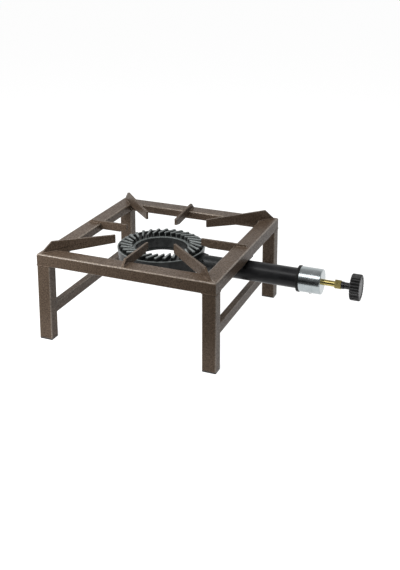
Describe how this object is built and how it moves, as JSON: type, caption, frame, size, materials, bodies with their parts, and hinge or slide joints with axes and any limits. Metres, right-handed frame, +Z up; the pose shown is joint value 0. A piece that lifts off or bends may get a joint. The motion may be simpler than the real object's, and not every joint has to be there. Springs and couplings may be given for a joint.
{
  "type": "stock pot range",
  "caption": "Low gas range for stock pots: square steel frame on legs, flat pot supports, toothed cast-iron ring burner, mixing tube with air shutter and needle valve.",
  "frame": {"origin": "on the floor, under the middle of the whole part's box; the middle of the square frame lies 118.85 mm towards -X", "axes": "+X along the burner tube from the frame to the knob, +Z up, +Y to the back of the frame"},
  "size_m": [0.6378, 0.4, 0.2125],
  "materials": {
    "frame_paint": "hammered brown paint, glossy",
    "foot_plastic": "matt black",
    "burner_iron": "black-grey casting, slightly rough",
    "tube_paint": "satin black",
    "collar_rubber": "matt black",
    "zinc": "zinc plated, softly bright",
    "steel": "plain bright steel",
    "black_steel": "blackened steel",
    "brass": "turned brass",
    "packing": "white sealing plastic",
    "knob_plastic": "moulded black plastic"
  },
  "bodies": {
    "range": {"top_rail_front": "frame_paint", "top_rail_back": "frame_paint", "top_rail_left": "frame_paint", "top_rail_right": "frame_paint", "leg_front_left": "frame_paint", "leg_front_right": "frame_paint", "leg_back_left": "frame_paint", "leg_back_right": "frame_paint", "foot_plug_front_left": "foot_plastic", "foot_plug_front_right": "foot_plastic", "foot_plug_back_left": "foot_plastic", "foot_plug_back_right": "foot_plastic", "lower_rail_left": "frame_paint", "lower_rail_right": "frame_paint", "corner_support_front_left": "frame_paint", "corner_support_front_right": "frame_paint", "corner_support_back_left": "frame_paint", "corner_support_back_right": "frame_paint", "side_support_front": "frame_paint", "side_support_back": "frame_paint", "side_support_left": "frame_paint", "side_support_right": "frame_paint", "burner_body": "burner_iron", "burner_head": "burner_iron", "mixing_tube": "tube_paint", "tube_collar": "collar_rubber", "hanger_brackets": "frame_paint", "tube_saddle": "tube_paint", "hanger_bolts": "steel", "hanger_nuts": "steel", "jet_holder": "zinc", "jet_nut": "brass", "injector_jet": "brass", "valve_body": "brass", "gland_packing": "packing", "gland_nut": "black_steel"},
    "shutter": {"air_shutter": "zinc"},
    "shutter_lock": {"lock_screw": "steel"},
    "knob": {"control_knob": "knob_plastic", "valve_spindle": "black_steel"},
    "needle": {"valve_needle": "steel"}
  },
  "joints": [
    {"name": "shutter_slide", "type": "slide", "parent": "range", "child": "shutter", "axis": [1, 0, 0], "range_m": [0, 0.012]},
    {"name": "lock_screw_turn", "type": "hinge", "parent": "shutter", "child": "shutter_lock", "pos_m": [0.21345, 0, 0.111], "axis": [0, 0, -1], "range_deg": [0, 360]},
    {"name": "knob_turn", "type": "hinge", "parent": "range", "child": "knob", "pos_m": [0.3, 0, 0.1384], "axis": [1, 0, 0], "range_deg": [0, 540]},
    {"name": "needle_slide", "type": "slide", "parent": "range", "child": "needle", "axis": [1, 0, 0], "range_m": [0, 0.0018]}
  ],
  "couplings": [
    {"joint": "needle_slide", "follows": "knob_turn", "m_per_rad": 0.00019099}
  ]
}
